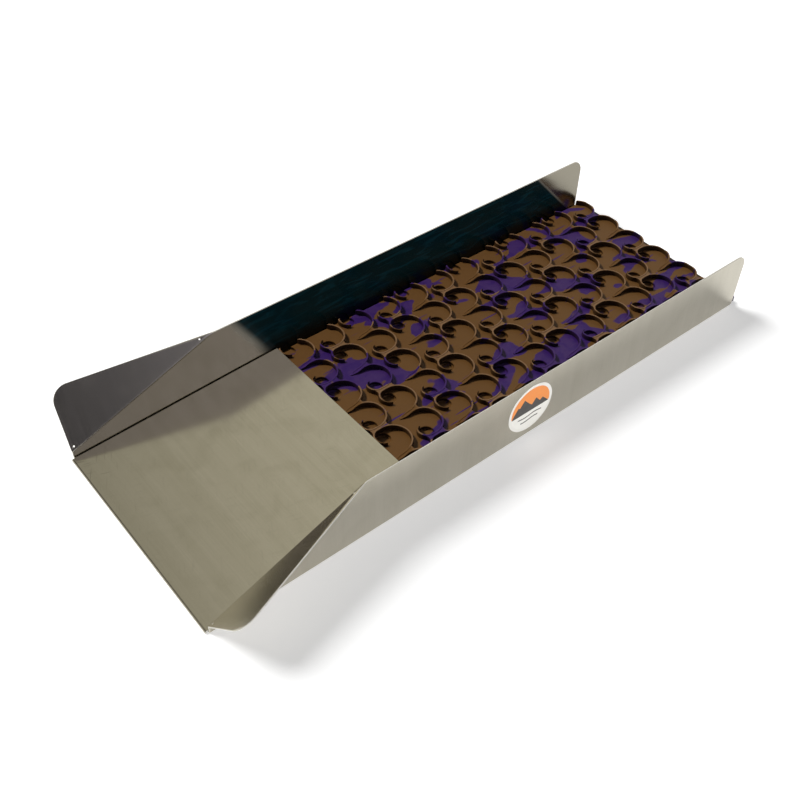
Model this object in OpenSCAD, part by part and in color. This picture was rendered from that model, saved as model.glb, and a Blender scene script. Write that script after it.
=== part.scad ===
// Hand sluice box: a folded sheet-metal trough with a flared mouth, a lift-off
// slick plate that ramps up from the mouth, and a moulded rubber riffle mat.
// Water runs towards +X. The origin is the middle of the box's footprint.

/* [Trough] */
// Length of the trough's floor, along the flow
trough_l = 710; // [500:1:900]
// Width across the outside of the walls
trough_w = 254; // [180:1:320]
// Height of the walls above the surface it stands on
wall_h = 75; // [60:1:110]
// Thickness of the sheet the trough is folded from
sheet_t = 1.6; // [1:0.1:2.5]
// Inside radius of the bend between floor and wall
foot_r = 1.6; // [1:0.1:3]
// Radius of the walls' top corners at the outlet
outlet_r = 16; // [4:1:30]
// Cut-back of the walls behind the floor's front lip
wall_setback = 1.5; // [0.5:0.5:6]
// Bevel where the foot bend ends at the outlet
outlet_bevel = 3; // [1:0.5:6]

/* [Flared mouth] */
// Height at which the fold starts on the wall's front edge
fold_z = 10; // [6:1:20]
// Distance behind the lip at which the fold meets the wall's top edge
fold_x = 170; // [100:1:240]
// Angle the wings are folded outwards by
fold_angle = 52; // [20:1:70]
// Inside radius of the fold
fold_r = 2.4; // [1:0.1:4]
// Radius of the wings' free corners
wing_r = 18; // [6:1:30]
// Radius of the fold marks, the small holes punched at the fold's ends
mark_r = 0.9; // [0.5:0.1:1.5]
// Distance of the lower mark from the fold's lower end, along the fold
mark_low = 5; // [3:1:15]
// Distance of the upper mark from the fold's upper end, along the fold
mark_high = 15; // [10:1:30]
// Distance of the marks past the bent band, on the wing
mark_in = 1.4; // [1.2:0.1:3]

/* [Slick plate] */
// Distance from the lip to the slick plate's rear edge
slick_l = 242; // [150:1:300]
// Thickness of the slick plate
slick_t = 1.5; // [1:0.1:2.5]
// Height of the slick plate's upper face at its rear edge
slick_top = 15.6; // [14.5:0.1:25]
// Gap between the slick plate and each wall
side_gap = 1.2; // [0.8:0.1:3]
// Inside radius of the hook that grips the front lip
hook_r = 0.4; // [0.3:0.1:0.6]
// Play between loose pieces
play = 0.2; // [0.1:0.05:0.4]

/* [Riffle mat] */
// Thickness of the mat over its lips
mat_t = 11.8; // [8:0.1:12]
// Length of mat that lies under the slick plate
mat_tuck = 7.5; // [4:0.5:20]
// Length of mat that stands out past the outlet
mat_overhang = 8; // [0:1:20]

/* [Label] */
// Radius of the round label
label_r = 29.7; // [10:0.1:30]
// Thickness of the label
label_t = 0.2; // [0.1:0.1:0.5]
// Distance from the lip to the label's centre
label_x = 374.6; // [250:0.1:600]
// Height of the label's centre
label_z = 39.5; // [35:0.5:42]

/* [Hidden] */
$fn = 96;
far = 1000;
cut = 1;

// Middle of the length over hook and mat, moved to the origin
front_x = -slick_t - play;
rear_x = trough_l + mat_overhang;
mid_x = (front_x + rear_x) / 2;

inner_w = trough_w - 2 * sheet_t;
bend_r = foot_r + sheet_t;
slick_w = inner_w - 2 * side_gap;

// The fold as a line in the wall: its slope and length, how far before and
// behind that line the bend starts and ends, how far its root reaches into the
// wall, the number of flats that the bend is made of, and how far past the
// bend the wing's own outline takes over
fold_slope = atan2(wall_h - fold_z, fold_x - wall_setback);
fold_back = fold_r * tan(fold_angle / 2);
fold_l = norm([fold_x - wall_setback, wall_h - fold_z]);
fold_root = 3;
fold_steps = 12;
fold_clear = 0.3;
hair = 0.01;

steel = "DarkKhaki";
rubber = "SaddleBrown";

// Puts a thing drawn on the YZ plane along the trough
module along_x(length) {
    rotate([90, 0, 90])
        linear_extrude(length)
            children();
}

// Puts a thing drawn on the XZ plane through the walls' full width
module across_y(width) {
    translate([0, width / 2, 0])
        rotate([90, 0, 0])
            linear_extrude(width)
                children();
}

// Quarter-round waste of a square corner at the origin, towards -X and +Y
module corner_waste(radius) {
    difference() {
        translate([-cut, 0])
            square([radius + cut, radius + cut]);
        translate([radius, 0])
            circle(radius);
    }
}

// Half of the trough's section: half the floor, the bend at its side, a wall
module half_section() {
    bend_y = trough_w / 2 - bend_r;
    square([bend_y, sheet_t]);
    translate([bend_y, bend_r])
        intersection() {
            difference() {
                circle(bend_r);
                circle(foot_r);
            }
            translate([0, -bend_r])
                square(bend_r);
        }
    translate([trough_w / 2 - sheet_t, bend_r])
        square([sheet_t, wall_h - bend_r]);
}

// Outline of one wall before folding, seen from the side
module wall_outline() {
    difference() {
        translate([wall_setback, 0])
            square([trough_l - wall_setback, wall_h]);
        translate([wall_setback, wall_h - wing_r])
            corner_waste(wing_r);
        translate([trough_l, wall_h - outlet_r])
            mirror([1, 0])
                corner_waste(outlet_r);
        translate([trough_l, 0])
            rotate(45)
                square(outlet_bevel * sqrt(2), center = true);
    }
}

// From the trough's axes to the fold's: X runs up along the fold, Z lies in
// the wall's plane, square to the fold, and the bend's axis is at y = 0
module at_fold() {
    translate([wall_setback, trough_w / 2 + fold_r, fold_z])
        rotate([0, -fold_slope, 0])
            children();
}

// From a place on the flat wall past the fold to where folding carries it
module folded() {
    at_fold()
        translate([0, 0, -fold_back])
            rotate([-fold_angle, 0, 0])
                translate([0, 0, -fold_back])
                    children();
}

// Points of the bend at one radius, seen along the fold from its axis
function fold_arc(radius) =
    [for (i = [0:fold_steps]) let (a = fold_angle * i / fold_steps) radius * [-cos(a), sin(a)]];

// The wing's far end at one radius
function wing_tip(radius) =
    radius * [-cos(fold_angle), sin(fold_angle)] + wall_h * [sin(fold_angle), cos(fold_angle)];

function backwards(points) = [for (i = [len(points) - 1:-1:0]) points[i]];

// The folded sheet seen along the fold: its root inside the wall, the bend and
// the wing. It is thinner than the wall by a hair, so that it lies inside it.
module fold_profile() {
    near_r = fold_r + hair;
    far_r = fold_r + sheet_t - hair;
    polygon(concat(
        [[-near_r, -fold_root]],
        fold_arc(near_r),
        [wing_tip(near_r), wing_tip(far_r)],
        backwards(fold_arc(far_r)),
        [[-far_r, -fold_root]]
    ));
}

// A small hole through the wing, at a place along the fold
module fold_mark(along) {
    translate([along, cut - fold_r, fold_back + mark_in])
        rotate([90, 0, 0])
            cylinder(h = sheet_t + 2 * cut, r = mark_r);
}

// What is trimmed off past the wing's outline
module wing_waste() {
    intersection() {
        rotate([0, fold_slope, 0])
            translate([-wall_setback, -fold_r - sheet_t / 2, -fold_z])
                across_y(sheet_t + 2 * cut)
                    difference() {
                        square(far, center = true);
                        wall_outline();
                    }
        translate([-far / 2, -far / 2, fold_back + fold_clear])
            cube(far);
    }
}

// The bend and the wing, ended level with the wall's edges
module flare() {
    difference() {
        at_fold()
            translate([-wall_h, 0, -fold_back])
                along_x(fold_l + 2 * wall_h)
                    fold_profile();
        translate([wall_setback - far, 0, -far / 2])
            cube(far);
        translate([-far / 2, 0, wall_h])
            cube(far);
        folded() {
            wing_waste();
            fold_mark(mark_low);
            fold_mark(fold_l - mark_high);
        }
    }
}

// All above the middle of the fold's root, where the wall has been folded away
module fold_waste() {
    at_fold()
        translate([-far / 2, -far / 2, -fold_back - fold_root / 2])
            cube(far);
}

// Half of the trough: the floor out to its lip, one wall and its wing
module trough_half() {
    difference() {
        intersection() {
            along_x(trough_l)
                half_section();
            union() {
                across_y(far)
                    wall_outline();
                translate([0, 0, -cut])
                    cube([trough_l, trough_w / 2 - bend_r, sheet_t + 2 * cut]);
            }
        }
        fold_waste();
    }
    flare();
}

module trough() {
    color(steel)
        translate([-mid_x, 0, 0]) {
            trough_half();
            mirror([0, 1, 0])
                trough_half();
        }
}

// The slick plate from the side: a hook down over the lip, then one straight
// ramp. The hook's bend is centred at the origin of its own axes.
module slick_outline() {
    outer_r = hook_r + slick_t;
    bend = [hook_r - play, sheet_t + play - hook_r];
    slope = atan2(slick_top - slick_t - sheet_t - play, slick_l);
    translate(bend) {
        rotate(slope)
            translate([0, hook_r])
                square([(slick_l - bend[0]) / cos(slope), slick_t]);
        intersection() {
            difference() {
                circle(outer_r);
                circle(hook_r);
            }
            translate([-outer_r, 0])
                square([2 * outer_r, outer_r]);
            rotate(slope)
                translate([-outer_r, 0])
                    square([outer_r, outer_r]);
        }
        translate([-outer_r, play - bend[1]])
            square([slick_t, bend[1] - play]);
    }
}

// The lift-off slick plate
module slick_plate() {
    color(steel)
        translate([-mid_x, 0, 0])
            across_y(slick_w)
                slick_outline();
}

// The riffle mat, filled up to the top of its lips
module riffle_mat() {
    mat_x = slick_l - mat_tuck;
    color(rubber)
        translate([mat_x - mid_x, -slick_w / 2, sheet_t + play / 2])
            cube([rear_x - mat_x, slick_w, mat_t]);
}

// The round label on the near wall
module label() {
    color("OrangeRed")
        translate([label_x - mid_x, -trough_w / 2, label_z])
            rotate([90, 0, 0])
                cylinder(h = label_t, r = label_r);
}

trough();
slick_plate();
riffle_mat();
label();
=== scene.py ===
"""A hand sluice box: folded aluminium trough, lift-off slick plate and moulded rubber riffle mat.

Every length is in metres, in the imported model's own frame: +X runs down the flow,
+Z up, and the object stands on z = 0.
"""

import logging
import math
from collections.abc import Callable
from dataclasses import dataclass, field
from enum import Enum
from typing import Any

import bmesh
import bpy
from mathutils import Matrix, Vector


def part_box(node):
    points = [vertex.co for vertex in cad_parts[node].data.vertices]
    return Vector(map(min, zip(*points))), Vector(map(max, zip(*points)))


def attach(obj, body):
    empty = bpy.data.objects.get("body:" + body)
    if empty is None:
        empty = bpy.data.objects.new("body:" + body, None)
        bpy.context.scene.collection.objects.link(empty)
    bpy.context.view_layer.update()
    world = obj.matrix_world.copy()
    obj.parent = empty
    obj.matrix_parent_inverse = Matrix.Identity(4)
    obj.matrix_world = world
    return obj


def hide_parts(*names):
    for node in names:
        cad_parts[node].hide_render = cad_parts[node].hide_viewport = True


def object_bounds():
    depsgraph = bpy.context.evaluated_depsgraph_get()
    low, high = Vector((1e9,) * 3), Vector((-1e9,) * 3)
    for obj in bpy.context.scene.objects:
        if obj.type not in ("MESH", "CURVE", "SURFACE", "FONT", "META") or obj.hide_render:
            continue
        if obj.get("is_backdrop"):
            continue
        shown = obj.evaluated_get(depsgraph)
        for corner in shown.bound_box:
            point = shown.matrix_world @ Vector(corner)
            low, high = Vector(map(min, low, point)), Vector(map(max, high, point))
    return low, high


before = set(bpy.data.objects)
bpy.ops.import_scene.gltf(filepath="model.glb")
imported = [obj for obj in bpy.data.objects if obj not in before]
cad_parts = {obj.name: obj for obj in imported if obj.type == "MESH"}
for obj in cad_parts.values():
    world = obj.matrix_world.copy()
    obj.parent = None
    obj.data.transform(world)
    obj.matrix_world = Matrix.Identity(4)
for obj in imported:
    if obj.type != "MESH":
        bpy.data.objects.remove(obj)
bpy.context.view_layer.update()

LOG = logging.getLogger("sluice")
MM = 0.001
FLAT_UV = "flat"
UPPER_SIDE = "upper_side"

Point = tuple[float, float]
Point3 = tuple[float, float, float]
Colour = tuple[float, float, float, float]
Shell = tuple[list[Vector], list[list[int]]]


def mm(length: float) -> float:
    """Returns a length given in millimetres, in metres."""
    return length * MM


def paint(code: str) -> Colour:
    """Turns an sRGB hex colour to the linear colour that shaders take.

    Args:
        code: Six hex digits, such as "8C8670".

    Returns:
        Linear red, green and blue, and an alpha of 1.
    """
    channels = [int(code[i:i + 2], 16) / 255 for i in (0, 2, 4)]
    linear = [c / 12.92 if c <= 0.04045 else ((c + 0.055) / 1.055) ** 2.4 for c in channels]
    return (linear[0], linear[1], linear[2], 1.0)


def add_node(tree: bpy.types.NodeTree, kind: str, inputs: dict[str | int, Any] | None = None,
             **settings: Any) -> bpy.types.Node:
    """Adds a node to a tree with its settings, values and incoming links.

    Args:
        tree: The tree that gets the node.
        kind: The node's type name.
        inputs: Values by socket name or number; an output socket as a value is linked.
        settings: The node's own properties.

    Returns:
        The new node.
    """
    node = tree.nodes.new(kind)
    for name, value in settings.items():
        setattr(node, name, value)
    for key, value in (inputs or {}).items():
        if isinstance(value, bpy.types.NodeSocket):
            tree.links.new(value, node.inputs[key])
        else:
            node.inputs[key].default_value = value
    return node


def maths(tree: bpy.types.NodeTree, operation: str, *values: Any) -> bpy.types.NodeSocket:
    """Adds a math node and returns its result."""
    return add_node(tree, "ShaderNodeMath", dict(enumerate(values)),
                    operation=operation).outputs["Value"]


def remap(tree: bpy.types.NodeTree, value: Any, start: Any, end: Any, to_start: float = 0.0,
          to_end: float = 1.0, smooth: bool = False) -> bpy.types.NodeSocket:
    """Adds a node that maps one clamped range of values to another.

    Args:
        tree: The tree that gets the node.
        value: What is mapped.
        start: The value at one end of the range.
        end: The value at its other end.
        to_start: The result at the start.
        to_end: The result at the end.
        smooth: Whether the result eases in and out.

    Returns:
        The result.
    """
    return add_node(tree, "ShaderNodeMapRange", {
        "Value": value, "From Min": start, "From Max": end, "To Min": to_start, "To Max": to_end,
    }, interpolation_type="SMOOTHSTEP" if smooth else "LINEAR").outputs["Result"]


def blend(tree: bpy.types.NodeTree, share: Any, first: Any, second: Any) -> bpy.types.NodeSocket:
    """Adds a node that mixes a share of the second colour into the first, and returns the mix."""
    return add_node(tree, "ShaderNodeMix", {"Factor": share, 6: first, 7: second},
                    data_type="RGBA").outputs[2]


def mapped(tree: bpy.types.NodeTree, place: Any, **changes: Point3) -> bpy.types.NodeSocket:
    """Adds a node that moves, turns and scales coordinates, and returns what it makes of them."""
    inputs = {name.capitalize(): value for name, value in changes.items()}
    return add_node(tree, "ShaderNodeMapping", {"Vector": place, **inputs}).outputs["Vector"]


def per(along: float, across: float, up: float = 1.0) -> Point3:
    """Returns the scale that makes blobs of these sizes; up is a plain factor."""
    return (1 / along, 1 / across, up)


def noise(tree: bpy.types.NodeTree, place: Any, scale: float, detail: float, rough: float = 0.5,
          bent: float = 0.0, flat: bool = False) -> bpy.types.NodeSocket:
    """Adds a noise texture.

    Args:
        tree: The tree that gets the node.
        place: The coordinates.
        scale: How many blobs there are to a metre.
        detail: How many finer layers it has.
        rough: How strong the finer layers are.
        bent: How far the pattern is distorted.
        flat: Whether only the first two coordinates count.

    Returns:
        Its grey value.
    """
    return add_node(tree, "ShaderNodeTexNoise", {
        "Vector": place, "Scale": scale, "Detail": detail, "Roughness": rough, "Distortion": bent,
    }, noise_dimensions="2D" if flat else "3D").outputs["Fac"]


def parts(tree: bpy.types.NodeTree, vector: Any) -> Any:
    """Adds a node that splits a vector, and returns its outputs X, Y and Z."""
    return add_node(tree, "ShaderNodeSeparateXYZ", {"Vector": vector}).outputs


def bumped(tree: bpy.types.NodeTree, height: Any, strength: float, distance: float,
           *normal: bpy.types.NodeSocket) -> bpy.types.NodeSocket:
    """Adds a bump node.

    Args:
        tree: The tree that gets the node.
        height: The pattern.
        strength: How much of the effect shows.
        distance: How high the pattern stands.
        normal: Another node's normal, which this one goes on top of.

    Returns:
        The bumped normal.
    """
    inputs = {"Height": height, "Strength": strength, "Distance": distance}
    inputs.update({"Normal": below for below in normal})
    return add_node(tree, "ShaderNodeBump", inputs).outputs["Normal"]


def surface(tree: bpy.types.NodeTree, inputs: dict[str, Any]) -> None:
    """Ends a material's tree with a shader that has these inputs."""
    shader = add_node(tree, "ShaderNodeBsdfPrincipled", inputs)
    add_node(tree, "ShaderNodeOutputMaterial", {"Surface": shader.outputs["BSDF"]})


def new_material(name: str) -> tuple[bpy.types.Material, bpy.types.NodeTree]:
    """Makes an empty node material.

    Args:
        name: What the finish is.

    Returns:
        The material and its cleared node tree.
    """
    material = bpy.data.materials.new(name)
    material.use_nodes = True
    material.node_tree.nodes.clear()
    return material, material.node_tree


def make_object(name: str, verts: Any, faces: Any) -> bpy.types.Object:
    """Makes a mesh object at the origin and links it to the scene.

    Args:
        name: The object's name.
        verts: Its points, in metres.
        faces: Its faces, as lists of point numbers.

    Returns:
        The new object.
    """
    mesh = bpy.data.meshes.new(name)
    mesh.from_pydata([tuple(v) for v in verts], [], [tuple(f) for f in faces])
    mesh.validate()
    piece = bpy.data.objects.new(name, mesh)
    bpy.context.scene.collection.objects.link(piece)
    return piece


def tube(rings: int, size: int) -> list[list[int]]:
    """Lists the faces of a closed shell made of rings of points.

    Args:
        rings: How many rings there are.
        size: How many points a ring has.

    Returns:
        The two end faces and the quads between the rings.
    """
    last = (rings - 1) * size
    faces = [list(range(size))[::-1], list(range(last, last + size))]
    for i in range(rings - 1):
        for j in range(size):
            k = (j + 1) % size
            faces.append([i * size + j, i * size + k, (i + 1) * size + k, (i + 1) * size + j])
    return faces


def arc(centre: Point, radius: float, start: float, end: float, steps: int) -> list[Point]:
    """Lists the points of an arc.

    Args:
        centre: The arc's centre.
        radius: Its radius.
        start: The first angle, in degrees from +X towards +Y.
        end: The last angle; below start for a clockwise arc.
        steps: How many straight pieces the arc is made of.

    Returns:
        The arc's points, both ends included.
    """
    turns = [math.radians(start + (end - start) * i / steps) for i in range(steps + 1)]
    return [(centre[0] + radius * math.cos(t), centre[1] + radius * math.sin(t)) for t in turns]


# ---------------------------------------------------------------- finishes


@dataclass(frozen=True)
class PaintedReflectionAndScuffs:
    """The blue-black painted reflection on the walls' inner faces beside the mat.

    It stands in for the dark mat mirrored in the metal and hides the metal's own
    reflections, so that those faces read as nearly black with a cast of teal, between two
    slanting ends where bare metal starts again.
    """

    wall_foot: float
    front: float = mm(244)
    front_slant: float = 0.62
    rear: float = mm(704)
    rear_slant: float = 0.95
    # The painted reflection's near-black teal, and the paler teal of its wavy lines.
    deep: str = "02171A"
    pale: str = "06242A"
    scuffed: str = "8B8678"
    ripple_size: Point = (mm(34), mm(6))

    def cover(self, tree: bpy.types.NodeTree, flat: bpy.types.NodeSocket,
              base: bpy.types.NodeSocket) -> tuple[bpy.types.NodeSocket, bpy.types.NodeSocket]:
        """Lays the painted dark reflection over a metal.

        Args:
            tree: The material's tree.
            flat: The flat sheet's coordinates.
            base: The bare metal's colour.

        Returns:
            The colour, and the metallic value.
        """
        spot = parts(tree, flat)
        height = maths(tree, "SUBTRACT", maths(tree, "ABSOLUTE", spot["Y"]), self.wall_foot)
        # The mask of the painted dark reflection: the walls' upper side, above the foot and between
        # the two slanting ends.
        cover = add_node(tree, "ShaderNodeAttribute", attribute_name=UPPER_SIDE).outputs["Fac"]
        edges = (
            (height, 0.0, mm(-0.5), mm(0.5)),
            (spot["X"], self.front_slant, self.front - mm(16), self.front + mm(4)),
            (spot["X"], self.rear_slant, self.rear + mm(3), self.rear - mm(4)),
        )
        for value, slant, start, end in edges:
            shifted = maths(tree, "MULTIPLY_ADD", height, slant, value)
            step = remap(tree, shifted, start, end, smooth=True)
            cover = maths(tree, "MULTIPLY", cover, step)
        # The last step is the rear end; the bare metal behind it is scuffed dull.
        base = blend(tree, step, paint(self.scuffed), base)
        # Painted reflection: pale wavy lines about 6 mm apart stand in for the lips mirrored in the
        # wall.
        turned = mapped(tree, flat, rotation=(0, 0, 0.35), scale=per(*self.ripple_size))
        painted_reflection_lines = noise(tree, turned, 1.0, 2.0, bent=0.6, flat=True)
        pale = remap(tree, painted_reflection_lines, 0.5, 0.72)
        teal = blend(tree, pale, paint(self.deep), paint(self.pale))
        covered = blend(tree, cover, base, teal)
        return covered, maths(tree, "SUBTRACT", 1.0, cover)


@dataclass(frozen=True)
class MillAluminium:
    """Mill-finish aluminium sheet, rolled and lightly brushed.

    The rolling lines run across the flow. They draw reflections out along
    themselves, so that the flats read as soft vertical gradients, and the thin sheet
    is never quite flat, which bends those gradients slightly.
    """

    name: str
    colour: str
    dull_colour: str
    roughness: float = 0.19
    anisotropy: float = 0.5
    line_spacing: float = mm(1.1)
    line_length: float = mm(90)
    dent_size: float = mm(140)
    smudge_size: float = mm(38)
    band_size: Point = (mm(14), mm(420))
    scratch_size: Point = (mm(1.3), mm(26))
    scratch_colour: str = "5E584B"
    worn_corner: Point3 = (mm(8), mm(104), 0.0)
    wave: float = mm(0.35)
    scratched: bool = False
    gloss_level: float = 0.5
    # film: a painted dark reflection, laid over this metal when given.
    film: PaintedReflectionAndScuffs | None = None

    def material(self) -> bpy.types.Material:
        """Builds the finish.

        Returns:
            The material.
        """
        material, tree = new_material(self.name)
        flat = add_node(tree, "ShaderNodeUVMap", uv_map=FLAT_UV).outputs["UV"]
        # Real rolling lines are about 0.1 mm apart; they are drawn coarser to show.
        stretched = mapped(tree, flat, scale=per(self.line_spacing, self.line_length))
        lines = noise(tree, stretched, 1.0, 3.0, rough=0.6, flat=True)
        banded = mapped(tree, flat, location=(3.1, 1.7, 0), scale=per(*self.band_size))
        bands = noise(tree, banded, 1.0, 2.0, flat=True)
        smudges = noise(tree, flat, 1 / self.smudge_size, 4.0, rough=0.55, bent=0.4, flat=True)
        grey = remap(tree, smudges, 0.45, 0.75, 0.0, 0.22, smooth=True)
        streaks = remap(tree, bands, 0.3, 0.7, 0.0, 0.25)
        dull = maths(tree, "MULTIPLY_ADD", lines, 0.45, maths(tree, "ADD", grey, streaks))
        base = blend(tree, dull, paint(self.colour), paint(self.dull_colour))
        rough = maths(tree, "MULTIPLY_ADD", lines, 0.09,
                      maths(tree, "MULTIPLY_ADD", grey, 0.14, self.roughness - 0.045))
        dents = noise(tree, flat, 1 / self.dent_size, 1.0, flat=True)
        bent = bumped(tree, dents, 1.0, self.wave)
        grain = bumped(tree, lines, 0.1, mm(0.05), bent)
        if self.scratched:
            base, grain = self.scratches(tree, flat, base, grain)
        bare: Any = 1.0
        # Painted reflection: under its mask the colour turns dark teal and the metal stops
        # mirroring.
        if self.film:
            base, bare = self.film.cover(tree, flat, base)
        tangent = add_node(tree, "ShaderNodeTangent", direction_type="UV_MAP",
                           uv_map=FLAT_UV).outputs["Tangent"]
        surface(tree, {
            "Base Color": base, "Metallic": bare, "Roughness": rough,
            "Specular IOR Level": self.gloss_level,
            "Anisotropic": self.anisotropy, "Anisotropic Rotation": 0.0,
            "Tangent": tangent, "Normal": grain,
        })
        return material

    def scratches(self, tree: bpy.types.NodeTree, flat: bpy.types.NodeSocket,
                  base: bpy.types.NodeSocket, normal: bpy.types.NodeSocket
                  ) -> tuple[bpy.types.NodeSocket, bpy.types.NodeSocket]:
        """Adds the fine dark scuffs that gravel and hands leave on bare sheet.

        Args:
            tree: The material's tree.
            flat: The flat sheet's coordinates.
            base: The colour so far.
            normal: The normal so far.

        Returns:
            The colour and the normal with scratches.
        """
        marks = None
        for angle, spot in ((0.5, 0.0), (1.9, 5.3)):
            turned = mapped(tree, flat, rotation=(0, 0, angle), location=(spot, spot, 0))
            drawn_out = mapped(tree, turned, scale=per(*self.scratch_size))
            specks = noise(tree, drawn_out, 1.0, 0.0, flat=True)
            line = remap(tree, specks, 0.76, 0.82)
            marks = line if marks is None else maths(tree, "MAXIMUM", marks, line)
        far_corner = add_node(tree, "ShaderNodeVectorMath", {0: flat, 1: self.worn_corner},
                              operation="DISTANCE").outputs["Value"]
        worn_most = remap(tree, far_corner, mm(8), mm(34), 0.45, 0.06)
        worn = blend(tree, maths(tree, "MULTIPLY", marks, worn_most), base,
                     paint(self.scratch_colour))
        dug = add_node(tree, "ShaderNodeBump", {
            "Height": marks, "Strength": 0.15, "Distance": mm(0.03), "Normal": normal,
        }, invert=True).outputs["Normal"]
        return worn, dug


@dataclass(frozen=True)
class ShearedEdgeWithPaintedHighlight:
    """The sheet's cut edge: torn bright by the shear and painted near white as a highlight, so that
    it reads as a pale line.
    """

    name: str = "sheared aluminium edge, painted highlight"
    # Painted highlight: this near-white is partly the cut edge's own pale tone, partly light caught
    # along the edge.
    colour: str = "ECEAE2"
    torn_colour: str = "B8B4A8"
    roughness: float = 0.42
    metallic: float = 0.25

    def material(self) -> bpy.types.Material:
        """Builds the finish.

        Returns:
            The material.
        """
        material, tree = new_material(self.name)
        place = add_node(tree, "ShaderNodeTexCoord").outputs["Object"]
        # Shear marks are about 0.3 mm apart; they are drawn at 1.5 mm to show.
        torn = noise(tree, place, 1 / mm(1.5), 2.0)
        shade = blend(tree, torn, paint(self.colour), paint(self.torn_colour))
        surface(tree, {
            "Base Color": shade, "Metallic": self.metallic, "Roughness": self.roughness,
        })
        return material


@dataclass(frozen=True)
class MouldedRubber:
    """Compression-moulded rubber of two pigments pressed together.

    The pigments don't mix: purple lies in the brown in hard-edged flakes and streaks,
    and the mould leaves a low satin gloss that shows on every rounded lip.
    """

    name: str = "two-colour moulded rubber"
    brown: str = "664624"
    brown_light: str = "70502C"
    # The rims' lighter colour: partly wear, partly a painted highlight on the lips' rounded tops.
    rim: str = "8A6A4C"
    purple: str = "412862"
    purple_dark: str = "381F60"
    # The colour of the painted shade on the lips' steep faces.
    shade: str = "1E120A"
    flake_size: Point = (mm(58), mm(34))
    streak_size: Point = (mm(70), mm(5))
    ripple_size: float = mm(16)
    ripple_reach: float = mm(9)
    mottle_size: float = mm(5)
    grit_size: float = mm(0.8)
    roughness: float = 0.55
    rim_height: float = mm(13.5)

    def material(self) -> bpy.types.Material:
        """Builds the finish.

        Returns:
            The material.
        """
        material, tree = new_material(self.name)
        place = add_node(tree, "ShaderNodeTexCoord").outputs["Object"]
        ripple = add_node(tree, "ShaderNodeTexNoise", {
            "Vector": place, "Scale": 1 / self.ripple_size, "Detail": 3.0,
        }).outputs["Color"]
        bent = add_node(tree, "ShaderNodeVectorMath", {
            0: ripple, 1: (self.ripple_reach, self.ripple_reach, 0.0), 2: place,
        }, operation="MULTIPLY_ADD").outputs["Vector"]
        drawn = mapped(tree, bent, rotation=(0, 0, 0.5), scale=per(*self.flake_size, up=0.0))
        blobs = noise(tree, drawn, 1.0, 1.6, rough=0.45, bent=0.7)
        is_purple = remap(tree, blobs, 0.545, 0.56)
        is_dark = remap(tree, ripple, 0.5, 0.56)
        pulled = mapped(tree, place, rotation=(0, 0, -0.35), scale=per(*self.streak_size, up=0.0))
        streaks = noise(tree, pulled, 1.0, 1.0)
        is_streak = remap(tree, streaks, 0.69, 0.71)
        any_purple = maths(tree, "MAXIMUM", is_purple, is_streak)
        height = parts(tree, place)["Z"]
        # Rim tops: partly real wear, partly a painted highlight where the lips' rounded tops catch
        # the light.
        rim_wear_and_highlight = remap(tree, height, self.rim_height - mm(1.2), self.rim_height)
        mottle = noise(tree, place, 1 / self.mottle_size, 3.0)
        brown = blend(tree, mottle, paint(self.brown), paint(self.brown_light))
        worn = blend(tree, rim_wear_and_highlight, brown, paint(self.rim))
        purple = blend(tree, is_dark, paint(self.purple), paint(self.purple_dark))
        top_colour = blend(tree, any_purple, worn, purple)
        # Painted shade: the steep faces are darkened towards near black, least so where they
        # face the outlet, standing in for the shade on the lips' sides and in the pockets.
        facing = parts(tree, add_node(tree, "ShaderNodeNewGeometry").outputs["Normal"])
        painted_shade_on_uprights = maths(tree, "MULTIPLY", remap(tree, facing["Z"], 0.65, 0.25),
                        remap(tree, facing["X"], 0.2, 0.8, 0.75, 0.15))
        base = blend(tree, painted_shade_on_uprights, top_colour, paint(self.shade))
        # The mould's blasted face is about 0.2 mm grit; it is drawn at 0.8 mm to show.
        grit = noise(tree, place, 1 / self.grit_size, 2.0)
        bump = bumped(tree, grit, 0.25, mm(0.08))
        rough = maths(tree, "MULTIPLY_ADD", mottle, 0.2, self.roughness - 0.1)
        surface(tree, {
            "Base Color": base, "Roughness": rough, "IOR": 1.5, "Specular IOR Level": 0.3,
            "Normal": bump,
        })
        return material


@dataclass(frozen=True)
class PrintedVinyl:
    """Printed and laminated vinyl film: flat ink under a clear, slightly wavy gloss."""

    name: str
    colour: str
    grime: str = "8A8781"
    patch_size: float = mm(6)
    roughness: float = 0.32

    def material(self) -> bpy.types.Material:
        """Builds the finish.

        Returns:
            The material.
        """
        material, tree = new_material(self.name)
        place = add_node(tree, "ShaderNodeTexCoord").outputs["Object"]
        # Ink laid by a wide-format printer varies over about 6 mm.
        patchy = noise(tree, place, 1 / self.patch_size, 2.0)
        ink = blend(tree, maths(tree, "MULTIPLY", patchy, 0.12), paint(self.colour),
                    paint(self.grime))
        film = bumped(tree, patchy, 0.15, mm(0.1))
        surface(tree, {
            "Base Color": ink, "Roughness": self.roughness, "IOR": 1.46, "Coat Weight": 0.3,
            "Coat Roughness": 0.15, "Normal": film,
        })
        return material


# ------------------------------------------------------------- folded sheets


@dataclass(frozen=True)
class Crease:
    """A line on the flat sheet at which its mesh is cut, so that it can bend there."""

    through: Point
    normal: Point
    beyond: float = 0.0


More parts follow.
